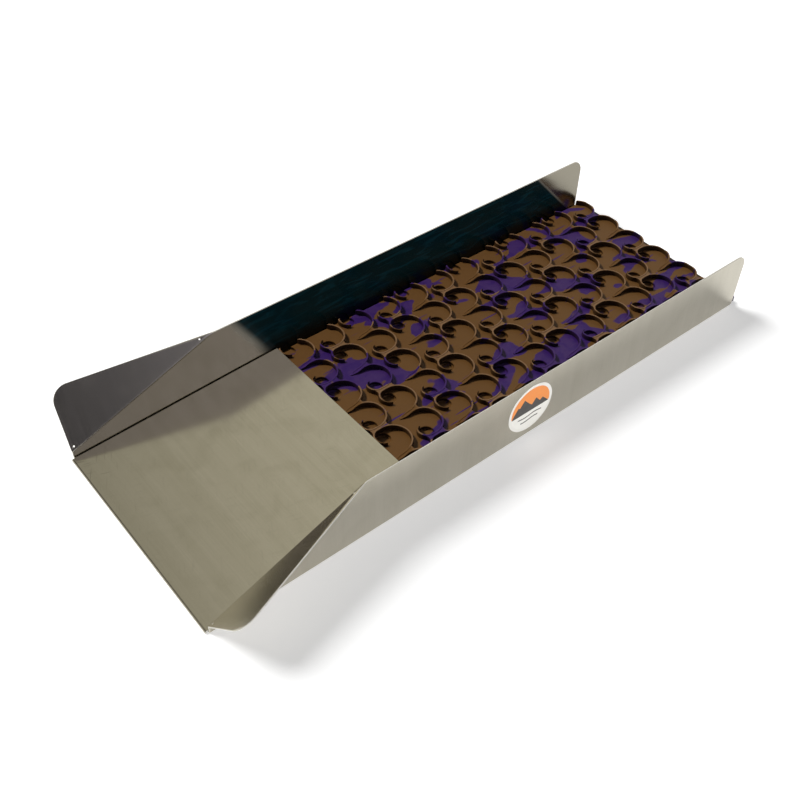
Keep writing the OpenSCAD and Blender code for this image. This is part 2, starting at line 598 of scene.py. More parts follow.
@dataclass
class FoldedSheet:
    """Sheet metal cut as a flat blank and then folded.

    The blank's own coordinates, along and across, stay with the mesh as its UV map, so
    that the rolling lines run unbroken over every bend.
    """

    thickness: float
    edge_round: float = mm(0.3)
    sheared: bool = True

    def loops(self) -> list[list[Point]]:
        """Returns the closed outlines of the blank and of its holes."""
        raise NotImplementedError

    def creases(self) -> list[Crease]:
        """Returns the lines at which the blank bends."""
        raise NotImplementedError

    def place(self, along: float, across: float, offset: float) -> Vector:
        """Says where folding carries a point of the blank.

        Args:
            along: Its distance along the blank.
            across: Its distance across the blank.
            offset: Its height over the middle of the sheet, towards the upper side.

        Returns:
            The point in the frame.
        """
        raise NotImplementedError

    def blank(self) -> bmesh.types.BMesh:
        """Meshes the flat blank with a narrow rim inside its outline, and cuts its creases.

        Returns:
            The flat mesh, facing up.
        """
        flat = bmesh.new()
        for loop in self.loops():
            points = [flat.verts.new((x, y, 0)) for x, y in loop]
            for first, second in zip(points, points[1:] + points[:1]):
                flat.edges.new((first, second))
        bmesh.ops.triangle_fill(flat, use_beauty=True, edges=flat.edges[:], normal=(0, 0, 1))
        flat.normal_update()
        if sum(f.normal.z * f.calc_area() for f in flat.faces) < 0:
            bmesh.ops.reverse_faces(flat, faces=flat.faces[:])
        bmesh.ops.inset_region(flat, faces=flat.faces[:], thickness=self.edge_round,
                               use_boundary=True, use_even_offset=True)
        for crease in self.creases():
            side = math.copysign(1.0, crease.through[1])
            faces = [f for f in flat.faces
                     if f.calc_center_median().y * side > crease.beyond or not crease.beyond]
            geometry = list({v for f in faces for v in f.verts})
            geometry += list({e for f in faces for e in f.edges}) + faces
            bmesh.ops.bisect_plane(flat, geom=geometry, dist=mm(0.0005),
                                   plane_co=(*crease.through, 0), plane_no=(*crease.normal, 0))
        flat.verts.index_update()
        return flat

    def build(self, name: str, finish: MillAluminium) -> bpy.types.Object:
        """Folds the blank, gives it its thickness and dresses it.

        Args:
            name: The piece's name.
            finish: The metal's finish.

        Returns:
            The finished piece.
        """
        flat = self.blank()
        count = len(flat.verts)
        half = self.thickness / 2
        upper, lower = [], []
        for v in flat.verts:
            level = half - self.edge_round if v.is_boundary else half
            upper.append(self.place(v.co.x, v.co.y, level))
            lower.append(self.place(v.co.x, v.co.y, -level))
        faces: list[list[int]] = []
        slots: list[int] = []
        for face in flat.faces:
            ring = [v.index for v in face.verts]
            faces += [ring, [i + count for i in reversed(ring)]]
            slots += [0, 0]
        for edge in flat.edges:
            if edge.is_boundary:
                loop = edge.link_loops[0]
                first, second = loop.vert.index, loop.link_loop_next.vert.index
                faces.append([first + count, second + count, second, first])
                slots.append(1)
        places = [(v.co.x, v.co.y) for v in flat.verts]
        flat.free()
        piece = make_object(name, upper + lower, faces)
        mesh = piece.data
        layer = mesh.uv_layers.new(name=FLAT_UV)
        for loop in mesh.loops:
            layer.data[loop.index].uv = places[loop.vertex_index % count]
        sides = mesh.attributes.new(UPPER_SIDE, "FLOAT", "POINT")
        sides.data.foreach_set("value", [1.0] * count + [0.0] * count)
        mesh.shade_smooth()
        even = piece.modifiers.new("flats stay flat", "WEIGHTED_NORMAL")
        even.mode = "FACE_AREA"
        even.weight = 100
        even.keep_sharp = False
        mesh.materials.append(finish.material())
        # The cut edges take the near-white finish, which is partly a painted highlight.
        if self.sheared:
            mesh.materials.append(ShearedEdgeWithPaintedHighlight().material())
            mesh.polygons.foreach_set("material_index", slots)
        return piece


@dataclass
class Trough(FoldedSheet):
    """The trough: one sheet folded up into two walls whose front corners flare outwards."""

    lip_x: float = 0.0
    outlet_x: float = mm(710)
    half_width: float = mm(127)
    wall_height: float = mm(75)
    foot_radius: float = mm(1.6)
    setback: float = mm(1.5)
    outlet_bevel: float = mm(3)
    outlet_corner: float = mm(16)
    wing_corner: float = mm(18)
    fold_z: float = mm(10)
    fold_run: float = mm(170)
    fold_angle: float = math.radians(52)
    fold_radius: float = mm(2.4)
    mark_radius: float = mm(0.9)
    mark_low: float = mm(5)
    mark_high: float = mm(15)
    mark_in: float = mm(1.4)
    foot_steps: int = 6
    fold_steps: int = 8
    corner_steps: int = 14
    floor_half: float = field(init=False)
    foot_arc: float = field(init=False)
    slope: float = field(init=False)
    fold_back: float = field(init=False)
    fold_arc: float = field(init=False)

    def __post_init__(self) -> None:
        """Works out the developed lengths of the bends."""
        outer = self.foot_radius + self.thickness
        self.floor_half = self.half_width - outer
        self.foot_arc = (self.foot_radius + self.thickness / 2) * math.pi / 2
        self.slope = math.atan2(self.wall_height - self.fold_z, self.fold_run - self.setback)
        self.fold_back = self.fold_radius * math.tan(self.fold_angle / 2)
        self.fold_arc = (self.fold_radius + self.thickness / 2) * self.fold_angle

    def across_at(self, height: float) -> float:
        """Returns how far across the blank a height on the wall lies."""
        return self.floor_half + self.foot_arc + height - self.foot_radius - self.thickness

    def on_wing(self, x: float, z: float) -> Point:
        """Shifts a point of the wall's outline that lies past the fold by what the bend takes up.

        Args:
            x: Its distance behind the lip.
            z: Its height before folding.

        Returns:
            Its place on the blank.
        """
        spare = self.fold_arc - 2 * self.fold_back
        return (x - spare * math.sin(self.slope), self.across_at(z + spare * math.cos(self.slope)))

    def along_fold(self, along: float, past: float) -> Point:
        """Returns how far behind the lip, and how high, a place given from the fold line is."""
        cos, sin = math.cos(self.slope), math.sin(self.slope)
        return (self.setback + along * cos - past * sin, self.fold_z + along * sin + past * cos)

    def side(self) -> list[Point]:
        """Draws one side of the blank's outline.

        Returns:
            Its points, from the lip to the outlet.
        """
        length, top = self.outlet_x - self.lip_x, self.wall_height
        rise = self.fold_back / math.cos(self.slope)
        run = self.fold_back / math.sin(self.slope)
        corner = arc((self.setback + self.wing_corner, top - self.wing_corner),
                     self.wing_corner, 180, 90, self.corner_steps)
        outlet = arc((length - self.outlet_corner, top - self.outlet_corner),
                     self.outlet_corner, 90, 0, self.corner_steps)
        points = [(0.0, self.floor_half), (self.setback, self.floor_half)]
        points.append((self.setback, self.across_at(self.fold_z - rise)))
        points.append(self.on_wing(self.setback, self.fold_z + rise))
        points += [self.on_wing(x, z) for x, z in corner]
        points.append(self.on_wing(self.fold_run - run, top))
        points.append((self.fold_run + run, self.across_at(top)))
        points += [(x, self.across_at(z)) for x, z in outlet]
        points.append((length, self.floor_half + self.outlet_bevel))
        points.append((length - self.outlet_bevel, self.floor_half + mm(0.05)))
        points.append((length, self.floor_half))
        return points

    def loops(self) -> list[list[Point]]:
        """Draws the blank's outline and the fold marks, small holes at the folds' ends.

        Returns:
            The closed outlines.
        """
        length = math.hypot(self.fold_run - self.setback, self.wall_height - self.fold_z)
        half = self.side()
        found = [[(x, -y) for x, y in half] + half[::-1]]
        for along in (self.mark_low, length - self.mark_high):
            centre = self.on_wing(*self.along_fold(along, self.fold_back + self.mark_in))
            ring = arc(centre, self.mark_radius, 0, 360, self.corner_steps)[:-1]
            found += [ring, [(x, -y) for x, y in ring]]
        return found

    def creases(self) -> list[Crease]:
        """Lists the lines at which the blank bends: flats round each foot, then round each fold.

        Returns:
            The lines.
        """
        lines = []
        for side in (-1, 1):
            for i in range(self.foot_steps + 1):
                across = self.floor_half + self.foot_arc * i / self.foot_steps
                lines.append(Crease((0, side * across), (0, 1)))
            for i in range(self.fold_steps + 1):
                past = self.fold_arc * i / self.fold_steps - self.fold_back
                x, z = self.along_fold(0, past)
                lines.append(Crease((x, side * self.across_at(z)),
                                    (-math.sin(self.slope), side * math.cos(self.slope)),
                                    self.floor_half + self.foot_arc))
        return lines

    def place(self, along: float, across: float, offset: float) -> Vector:
        """Says where folding carries a point of the blank.

        Args:
            along: Its distance along the blank.
            across: Its distance across the blank.
            offset: Its height over the middle of the sheet, towards the upper side.

        Returns:
            The point in the frame.
        """
        side = math.copysign(1.0, across)
        past = abs(across) - self.floor_half
        middle = self.thickness / 2
        if past <= 0:
            return Vector((self.lip_x + along, across, middle + offset))
        outer = self.foot_radius + self.thickness
        if past < self.foot_arc:
            turn = past / (self.foot_radius + middle)
            radius = self.foot_radius + middle - offset
            return Vector((self.lip_x + along, side * (self.floor_half + radius * math.sin(turn)),
                           outer - radius * math.cos(turn)))
        height = outer + past - self.foot_arc
        cos, sin = math.cos(self.slope), math.sin(self.slope)
        behind, above = along - self.setback, height - self.fold_z
        up = behind * cos + above * sin
        beyond = above * cos - behind * sin + self.fold_back
        if beyond <= 0:
            return Vector((self.lip_x + along, side * (self.half_width - middle - offset), height))
        turn = min(beyond / (self.fold_radius + middle), self.fold_angle)
        rest = max(0.0, beyond - self.fold_arc)
        radius = self.fold_radius + middle + offset
        out = self.half_width + self.fold_radius - radius * math.cos(turn) + rest * math.sin(turn)
        risen = radius * math.sin(turn) + rest * math.cos(turn) - self.fold_back
        x, z = self.along_fold(up, risen)
        return Vector((self.lip_x + x, side * out, min(z, self.wall_height)))


@dataclass
class SlickPlate(FoldedSheet):
    """The slick plate: a plain ramp that hooks down over the trough's front lip."""

    lip_x: float = 0.0
    rear_x: float = mm(242)
    half_width: float = mm(124.2)
    foot_z: float = mm(0.2)
    top_z: float = mm(15.6)
    lip_thickness: float = mm(1.6)
    play: float = mm(0.2)
    hook_radius: float = mm(0.4)
    rear_gap: float = mm(0.45)
    broken: float = mm(1.2)
    bend_steps: int = 6
    corner_steps: int = 5
    bend_x: float = field(init=False)
    bend_z: float = field(init=False)
    slope: float = field(init=False)
    leg: float = field(init=False)
    turn: float = field(init=False)
    bend_arc: float = field(init=False)
    length: float = field(init=False)

    def __post_init__(self) -> None:
        """Works out the ramp's slope and the developed lengths."""
        self.bend_x = self.lip_x + self.hook_radius - self.play
        self.bend_z = self.lip_thickness + self.play - self.hook_radius
        rise = self.top_z - self.thickness - self.lip_thickness - self.play
        self.slope = math.atan2(rise, self.rear_x - self.lip_x)
        self.leg = self.bend_z - self.foot_z
        self.turn = math.pi / 2 - self.slope
        self.bend_arc = (self.hook_radius + self.thickness / 2) * self.turn
        ramp = (self.rear_x - self.bend_x) / math.cos(self.slope)
        self.length = self.leg + self.bend_arc + ramp - self.rear_gap

    def loops(self) -> list[list[Point]]:
        """Draws the blank's outline, with its rear corners just broken.

        Returns:
            The outline.
        """
        rear, side = self.length - self.broken, self.half_width - self.broken
        right = arc((rear, -side), self.broken, -90, 0, self.corner_steps)
        left = arc((rear, side), self.broken, 0, 90, self.corner_steps)
        return [[(0, -self.half_width), *right, *left, (0, self.half_width)]]

    def creases(self) -> list[Crease]:
        """Returns the lines of the hook's bend."""
        return [Crease((self.leg + self.bend_arc * i / self.bend_steps, 0), (1, 0))
                for i in range(self.bend_steps + 1)]

    def place(self, along: float, across: float, offset: float) -> Vector:
        """Says where folding carries a point of the blank.

        Args:
            along: Its distance along the blank.
            across: Its distance across the blank.
            offset: Its height over the middle of the sheet, towards the upper side.

        Returns:
            The point in the frame.
        """
        radius = self.hook_radius + self.thickness / 2 + offset
        if along <= self.leg:
            return Vector((self.bend_x - radius, across, self.foot_z + along))
        turned = min((along - self.leg) / self.bend_arc, 1.0) * self.turn
        ahead = max(0.0, along - self.leg - self.bend_arc)
        angle = math.pi - turned
        return Vector((self.bend_x + radius * math.cos(angle) + ahead * math.cos(self.slope),
                       across,
                       self.bend_z + radius * math.sin(angle) + ahead * math.sin(self.slope)))


@dataclass
class PaintedReflectionSkins(FoldedSheet):
    """Two skins of painted dark reflection on the walls' inner faces, in the walls' own
    coordinates.
    """

    trough: Trough | None = None
    foot: float = mm(4)
    front_foot: float = mm(228)
    front_top: float = mm(181)
    margin: float = mm(0.4)

    def loops(self) -> list[list[Point]]:
        """Draws the skins on the two walls.

        Returns:
            Their outlines.
        """
        wall = self.trough
        top = wall.wall_height - self.margin
        corner_x = wall.outlet_x - wall.lip_x - wall.outlet_corner
        corner = arc((corner_x, wall.wall_height - wall.outlet_corner),
                     wall.outlet_corner - self.margin, 0, 90, wall.corner_steps)
        outline = [(self.front_foot, self.foot), (corner[0][0], self.foot), *corner,
                   (self.front_top, top)]
        left = [(x, wall.across_at(z)) for x, z in outline]
        return [left, [(x, -y) for x, y in left[::-1]]]

    def creases(self) -> list[Crease]:
        """Returns no lines: the skins are flat."""
        return []

    def place(self, along: float, across: float, offset: float) -> Vector:
        """Says where the wall carries a point of its skin; see FoldedSheet.place."""
        level = (self.trough.thickness + self.thickness) / 2
        return self.trough.place(along, across, level + offset)


# ---------------------------------------------------------------- riffle mat


class Hand(Enum):
    """Which way a swirl curls, seen from above with the flow to the right.

    The value is the parity of the cells that hold such swirls.
    """

    RIGHT = 0
    LEFT = 1


class Shaping(Enum):
    """What another closed shell does to a piece."""

    JOIN = "UNION"
    CUT = "DIFFERENCE"
    TRIM = "INTERSECT"


@dataclass
class Swirl:
    """One cell of the mat: a lip that curls round a deep pocket, and the webs beside it.

    The path is drawn for a right-hand swirl, in metres from the cell's centre. A
    left-hand swirl is its mirror image across the flow.
    """

    floor_z: float
    rim_z: float
    pocket_z: float
    half_pitch: float = mm(20.75)
    tip_x: float = mm(-14.5)
    hook_radius: float = mm(19.3)
    hook_start: float = 99.0
    full_x: float = mm(9.6)
    tip_share: float = 0.10
    ring_centre: Point = (mm(-4.85), mm(-9.95))
    ring_radius: float = mm(9.2)
    ring_end: float = 98.0
    lip_half: float = mm(0.95)
    lip_round: float = mm(0.55)
    lip_flare: float = mm(0.5)
    bevel_share: float = 0.3
    lead_angle: float = math.radians(-16)
    lead_steps: int = 6
    hook_steps: int = 26
    ring_steps: int = 20
    sinks_by: float = 0.42
    thins_by: float = 0.68
    pocket_radius: float = mm(8.25)
    pocket_edge: float = mm(0.45)
    pocket_fillet: float = mm(0.8)
    pocket_steps: int = 40
    web_drop: float = mm(0.4)
    root: float = mm(1.0)
    hair: float = mm(0.01)

    def share_at(self, x: float) -> float:
        """Returns the share of the full height that the lip has where it rises from its tip."""
        rise = (x - self.tip_x) / (self.full_x - self.tip_x)
        return min(1.0, self.tip_share + (1 - self.tip_share) * rise)

    def lead_in(self) -> list[Point]:
        """Draws the slightly hollow line from the tip to the hook, a cubic with both slopes set.

        Returns:
            The line's points, without the one where the hook starts.
        """
        start = Vector((self.tip_x, self.half_pitch))
        turn = math.radians(self.hook_start)
        end = Vector((math.cos(turn), math.sin(turn))) * self.hook_radius
        run = (end - start).length
        out = Vector((math.cos(self.lead_angle), math.sin(self.lead_angle))) * run
        into = Vector((math.sin(turn), -math.cos(turn))) * run
        points = []
        for i in range(self.lead_steps):
            t = i / self.lead_steps
            points.append(tuple(
                start * (2 * t ** 3 - 3 * t ** 2 + 1) + out * (t ** 3 - 2 * t ** 2 + t)
                + end * (3 * t ** 2 - 2 * t ** 3) + into * (t ** 3 - t ** 2)))
        return points

    def path(self) -> list[tuple[float, float, float, float]]:
        """Draws the lip's line, which sinks and thins towards the end of its ring.

        Returns:
            Points with the share of the full height there and the lip's half width.
        """
        hook = arc((0, 0), self.hook_radius, self.hook_start, -90, self.hook_steps)
        ring = arc(self.ring_centre, self.ring_radius, 270, self.ring_end, self.ring_steps)
        stations = [(x, y, self.share_at(x), self.lip_half) for x, y in self.lead_in()]
        stations += [(x, y, self.share_at(x) if y > 0 else 1.0, self.lip_half) for x, y in hook]
        for i, (x, y) in enumerate(ring):
            angle = 270 - (270 - self.ring_end) * i / self.ring_steps
            fade = max(0.0, (180 - angle) / (180 - self.ring_end))
            half = self.lip_half * (1 - self.thins_by * fade)
            stations.append((x, y, 1 - self.sinks_by * fade, half))
        return stations

    def lip(self) -> Shell:
        """Sweeps the lip's rounded section along its path.

        Returns:
            The points and faces of a closed shell that is rooted below the floor.
        """
        stations = self.path()
        spots = [Vector((s[0], s[1])) for s in stations]
        verts: list[Vector] = []
        for i, (x, y, share, half) in enumerate(stations):
            ahead = (spots[min(i + 1, len(spots) - 1)] - spots[max(i - 1, 0)]).normalized()
            left = Vector((-ahead.y, ahead.x))
            top = self.floor_z + (self.rim_z - self.floor_z) * share
            crown = min(self.lip_round, half * 0.8)
            base = self.floor_z - self.root
            bevel = crown * self.bevel_share
            section = [(half + self.lip_flare, base), (half, top - crown),
                       (half - bevel, top - bevel), (half - crown, top), (crown - half, top),
                       (bevel - half, top - bevel), (-half, top - crown), (-half, base)]
            verts += [Vector((x + left.x * d, y + left.y * d, z)) for d, z in section]
        return verts, tube(len(stations), len(section))

    def hollow_end(self, x: float, depth: float, height: float) -> list[Point]:
        """Returns the hollow end of a web, from its upper to its lower horn, about y = 0."""
        return [(x - depth * math.cos(t), height * math.sin(t))
                for t in (math.radians(a) for a in (66, 44, 22, 0, -22, -44, -66))]

    def low_web(self) -> Shell:
        """Builds the flat web between the backs of two rings.

        Returns:
            The points and faces of a closed prism.
        """
        hook = arc((0, 0), self.hook_radius, -57, -90, 6)
        ring = arc(self.ring_centre, self.ring_radius, 270, 218, 8)
        upper = [(x, y + self.half_pitch) for x, y in hook + ring]
        lower = [(x, -y) for x, y in reversed(upper)]
        left = [(x, -y) for x, y in self.hollow_end(mm(-12.6), mm(-1.4), mm(4.2))]
        right = self.hollow_end(mm(10.6), mm(1.6), mm(4.0))
        outline = upper + left[::-1] + lower + right[::-1]
        top = self.rim_z - self.web_drop
        return self.prism([(x, y - self.half_pitch) for x, y in outline], lambda x: top)

    def high_web(self) -> Shell:
        """Builds the wedge between two lead-ins, which rises with them from their common tip.

        Returns:
            The points and faces of a closed prism.
        """
        hook = arc((0, 0), self.hook_radius, self.hook_start, 59, 8)
        lower = [(x, y - self.half_pitch) for x, y in self.lead_in() + hook]
        upper = [(x, -y) for x, y in reversed(lower[1:])]
        right = self.hollow_end(mm(10.0), mm(1.6), mm(4.0))
        outline = lower + right[::-1] + upper
        height = self.rim_z - self.floor_z
        return self.prism([(x, y + self.half_pitch) for x, y in outline],
                          lambda x: self.floor_z + height * self.share_at(x) - self.web_drop)

    def prism(self, outline: list[Point], top: Callable[[float], float]) -> Shell:
        """Builds a closed prism from below the floor to a top that depends on x.

        Args:
            outline: Its outline.
            top: A function from x to the height of the top.

        Returns:
            The points and faces.
        """
        base = self.floor_z - self.root
        verts = [Vector((x, y, base)) for x, y in outline]
        verts += [Vector((x, y, top(x))) for x, y in outline]
        return verts, tube(2, len(outline))

    def pocket(self) -> Shell:
        """Builds the cutter for the pocket: a cylinder with a broken top edge.

        Returns:
            The points and faces.
        """
        wide = self.pocket_radius + self.pocket_edge
        section = [(self.pocket_radius - self.pocket_fillet, self.pocket_z),
                   (self.pocket_radius, self.pocket_z + self.pocket_fillet),
                   (self.pocket_radius, self.floor_z - self.pocket_edge),
                   (wide, self.floor_z + self.hair), (wide, self.floor_z + mm(2))]
        verts = []
        for radius, z in section:
            ring = arc(self.ring_centre, radius, 0, 360, self.pocket_steps)[:-1]
            verts += [Vector((x, y, z)) for x, y in ring]
        return verts, tube(len(section), self.pocket_steps)


@dataclass
class RiffleMat:
    """The riffle mat: a slab with rows of swirls, left- and right-handed by turns."""

    low: Vector
    high: Vector
    first_x: float
    first_y: float
    floor_z: float = mm(7.7)
    pocket_z: float = mm(3.7)
    pitch_x: float = mm(40.2)
    pitch_y: float = mm(41.5)
    columns: int = 13
    rows: int = 7
    spare: float = mm(5)
    crisp_angle: float = math.radians(38)

    def grid_tree(self) -> bpy.types.GeometryNodeTree:
        """Builds the tree that sets one motif on every second cell of the grid.

        Returns:
            The tree, with its sizes as named inputs.
        """
        tree = bpy.data.node_groups.new("motif on every second cell", "GeometryNodeTree")
        tree.is_modifier = True
        for name, kind in (("Geometry", "NodeSocketGeometry"), ("Motif", "NodeSocketObject"),
                           ("Columns", "NodeSocketInt"), ("Rows", "NodeSocketInt"),
                           ("Pitch Along", "NodeSocketFloat"), ("Pitch Across", "NodeSocketFloat"),
                           ("First Cell", "NodeSocketVector"), ("Parity", "NodeSocketInt"),
                           ("Finish", "NodeSocketMaterial")):
            tree.interface.new_socket(name, in_out="INPUT", socket_type=kind)
        tree.interface.new_socket("Geometry", in_out="OUTPUT", socket_type="NodeSocketGeometry")
        given = add_node(tree, "NodeGroupInput").outputs
        total = maths(tree, "MULTIPLY", given["Columns"], given["Rows"])
        index = add_node(tree, "GeometryNodeInputIndex").outputs["Index"]
        row = maths(tree, "FLOOR", maths(tree, "DIVIDE", index, given["Columns"]))
        column = maths(tree, "MODULO", index, given["Columns"])
        along = maths(tree, "MULTIPLY", column, given["Pitch Along"])
        across = maths(tree, "MULTIPLY", maths(tree, "MULTIPLY", row, -1.0), given["Pitch Across"])
        spot = add_node(tree, "ShaderNodeCombineXYZ", {"X": along, "Y": across}).outputs["Vector"]
        points = add_node(tree, "GeometryNodePoints", {
            "Count": total,
            "Position": add_node(tree, "ShaderNodeVectorMath", {0: spot, 1: given["First Cell"]},
                                 operation="ADD").outputs["Vector"],
        }).outputs["Points"]
        checker = maths(tree, "MODULO", maths(tree, "ADD", row, column), 2.0)
        chosen = maths(tree, "COMPARE", checker, given["Parity"], 0.1)
        motif = add_node(tree, "GeometryNodeObjectInfo", {
            "Object": given["Motif"], "As Instance": True,
        }).outputs["Geometry"]
        placed = add_node(tree, "GeometryNodeInstanceOnPoints", {
            "Points": points, "Selection": chosen, "Instance": motif,
        }).outputs["Instances"]
        real = add_node(tree, "GeometryNodeRealizeInstances",
                        {"Geometry": placed}).outputs["Geometry"]
        dressed = add_node(tree, "GeometryNodeSetMaterial", {
            "Geometry": real, "Material": given["Finish"],
        }).outputs["Geometry"]
        add_node(tree, "NodeGroupOutput", {"Geometry": dressed})
        return tree

    def spread(self, tree: bpy.types.GeometryNodeTree, shell: Shell,
               hand: Hand, material: bpy.types.Material) -> bpy.types.Object:
        """Sets a motif on every second cell and makes the result one plain mesh.

        Args:
            tree: The tree from grid_tree.
            shell: The motif's points and faces, for a right-hand swirl.
            hand: Which cells it is set on; it is mirrored on those of left-hand swirls.
            material: The mat's finish.

        Returns:
            An object that holds every copy.
        """
        verts, faces = shell
        if hand is Hand.LEFT:
            verts = [Vector((v.x, -v.y, v.z)) for v in verts]
            faces = [face[::-1] for face in faces]
        motif = make_object("motif", verts, faces)
        holder = make_object("holder", [(0, 0, 0)], [])
        grid = holder.modifiers.new("grid", "NODES")
        grid.node_group = tree
        values = {"Motif": motif, "Columns": self.columns, "Rows": self.rows,
                  "Pitch Along": self.pitch_x, "Pitch Across": self.pitch_y,
                  "First Cell": (self.first_x, self.first_y, 0.0), "Parity": hand.value,
                  "Finish": material}
        for socket in tree.interface.items_tree:
            if socket.in_out == "INPUT" and socket.name in values:
                grid[socket.identifier] = values[socket.name]
        bpy.context.view_layer.update()
        graph = bpy.context.evaluated_depsgraph_get()
        mesh = bpy.data.meshes.new_from_object(holder.evaluated_get(graph))
        copies = bpy.data.objects.new("copies", mesh)
        bpy.context.scene.collection.objects.link(copies)
        bpy.data.objects.remove(holder)
        bpy.data.objects.remove(motif)
        return copies

    def combine(self, piece: bpy.types.Object, other: bpy.types.Object,
                shaping: Shaping) -> None:
        """Joins, cuts or trims the piece with another closed shell, which is then removed.

        Args:
            piece: What is kept.
            other: The other shell.
            shaping: What the other shell does.
        """
        step = piece.modifiers.new("combine", "BOOLEAN")
        step.operation = shaping.value
        step.solver = "MANIFOLD"
        step.object = other
        graph = bpy.context.evaluated_depsgraph_get()
        mesh = bpy.data.meshes.new_from_object(piece.evaluated_get(graph))
        piece.modifiers.remove(step)
        piece.data = mesh
        bpy.data.objects.remove(other)

    def block(self, name: str, low: Vector, high: Vector) -> bpy.types.Object:
        """Makes a closed block between two corners, for joining and trimming.

        Args:
            name: The block's name.
            low: Its lowest corner.
            high: Its highest corner.

        Returns:
            The block.
        """
        size = high - low
        block = bmesh.new()
        bmesh.ops.create_cube(block, size=1.0, matrix=Matrix.LocRotScale(
            (low + high) / 2, None, size))
        piece = make_object(name, [v.co for v in block.verts],
                            [[v.index for v in f.verts] for f in block.faces])
        block.free()
        return piece

    def build(self, finish: MouldedRubber) -> bpy.types.Object:
        """Moulds the mat: slab, pockets, webs and lips, trimmed to the mat's outline.

        Args:
            finish: The rubber's finish.

        Returns:
            The finished piece.
        """
        swirl = Swirl(self.floor_z, self.high.z, self.pocket_z)
        tree = self.grid_tree()
        material = finish.material()
        spare = Vector((self.spare, self.spare, 0))
        mat = self.block("molded_riffle_mat", self.low - spare,
                         Vector((self.high.x, self.high.y, self.floor_z)) + spare)
        for shell, hand, shaping in (
            (swirl.pocket(), Hand.RIGHT, Shaping.CUT),
            (swirl.pocket(), Hand.LEFT, Shaping.CUT),
            (swirl.low_web(), Hand.RIGHT, Shaping.JOIN),
            (swirl.high_web(), Hand.RIGHT, Shaping.JOIN),
            (swirl.lip(), Hand.RIGHT, Shaping.JOIN),
            (swirl.lip(), Hand.LEFT, Shaping.JOIN),
        ):
            self.combine(mat, self.spread(tree, shell, hand, material), shaping)
        self.combine(mat, self.block("trim", self.low, self.high), Shaping.TRIM)
        mesh = mat.data
        mesh.materials.clear()
        mesh.materials.append(material)
        mesh.polygons.foreach_set("material_index", [0] * len(mesh.polygons))
        mesh.shade_smooth()
        mesh.set_sharp_from_angle(angle=self.crisp_angle)
        return mat


# --------------------------------------------------------------------- label


@dataclass
class Label:
    """The round label: a plain badge of a ridge over water, printed on white film."""

    centre: Vector
    radius: float
    thickness: float
    ink: float = mm(0.012)
    steps: int = 72

    def layer(self, outline: list[Point], level: int) -> Shell:
        """Builds one thin closed layer of film or ink, facing away from the wall.

        Args:
            outline: Its outline, right and up from the label's centre, anticlockwise.
            level: How many layers of ink lie under it.

        Returns:
            The points and faces.
        """
        back = self.centre.y
        front = back - self.thickness + self.ink * (3 - level)
        verts = [Vector((self.centre.x + x, y, self.centre.z + z))
                 for y in (front, back) for x, z in outline]
        return verts, [face[::-1] for face in tube(2, len(outline))]

    def chord(self, radius: float, height: float) -> list[Point]:
        """Returns the part of a disc below a height, anticlockwise."""
        angle = math.degrees(math.asin(height / radius))
        return arc((0, 0), radius, 180 - angle, 360 + angle, self.steps)

    def wave(self, height: float, width: float, swing: float, line: float) -> list[Point]:
        """Draws the outline of one wavy line.

        Args:
            height: Its height over the label's centre.
            width: How wide it is from end to end.
            swing: How far it swings up and down.
            line: How thick it is.

        Returns:
            The outline, anticlockwise.
        """
        spots = [width * (i / 40 - 0.5) for i in range(41)]
        lower = [(x, height + swing * math.sin(x / mm(4.4)) - line / 2) for x in spots]
        upper = [(x, z + line) for x, z in lower[::-1]]
        return lower + upper

    def build(self) -> bpy.types.Object:
        """Prints the label.

        Returns:
            The finished piece.
        """
        r = self.radius
        inner = r * 0.88
        horizon = -r * 0.10
        ridge = [(-0.86, -0.14), (0.86, -0.14), (0.74, -0.02), (0.55, 0.18), (0.42, 0.10),
                 (0.22, 0.34), (0.05, 0.12), (-0.07, 0.22), (-0.33, 0.52), (-0.52, 0.26),
                 (-0.60, 0.30), (-0.80, 0.0)]
        inks = [
            (arc((0, 0), r, 0, 360, self.steps)[:-1], 0, "E9E7E0", "white vinyl film"),
            (arc((0, 0), inner, 0, 360, self.steps)[:-1], 1, "F08A24", "amber printed vinyl"),
            (self.chord(inner, horizon), 2, "EFEDE6", "pale printed vinyl"),
            ([(x * r, z * r) for x, z in ridge], 3, "1C1815", "black printed vinyl"),
            (self.wave(-0.34 * r, 1.1 * r, mm(0.8), mm(1.5)), 3, "1C1815", "black printed vinyl"),
            (self.wave(-0.54 * r, 0.8 * r, mm(0.8), mm(1.5)), 3, "1C1815", "black printed vinyl"),
        ]
        verts: list[Vector] = []
        faces: list[list[int]] = []
        slots: list[int] = []
        names: list[str] = []
        materials: list[bpy.types.Material] = []
        for outline, level, colour, name in inks:
            if name not in names:
                names.append(name)
                materials.append(PrintedVinyl(name, colour).material())
            more_verts, more_faces = self.layer(outline, level)
            faces += [[i + len(verts) for i in face] for face in more_faces]
            verts += more_verts
            slots += [names.index(name)] * len(more_faces)
        piece = make_object("round_label", verts, faces)
        for material in materials:
            piece.data.materials.append(material)
        piece.data.polygons.foreach_set("material_index", slots)
        return piece


# -------------------------------------------------------------------- studio


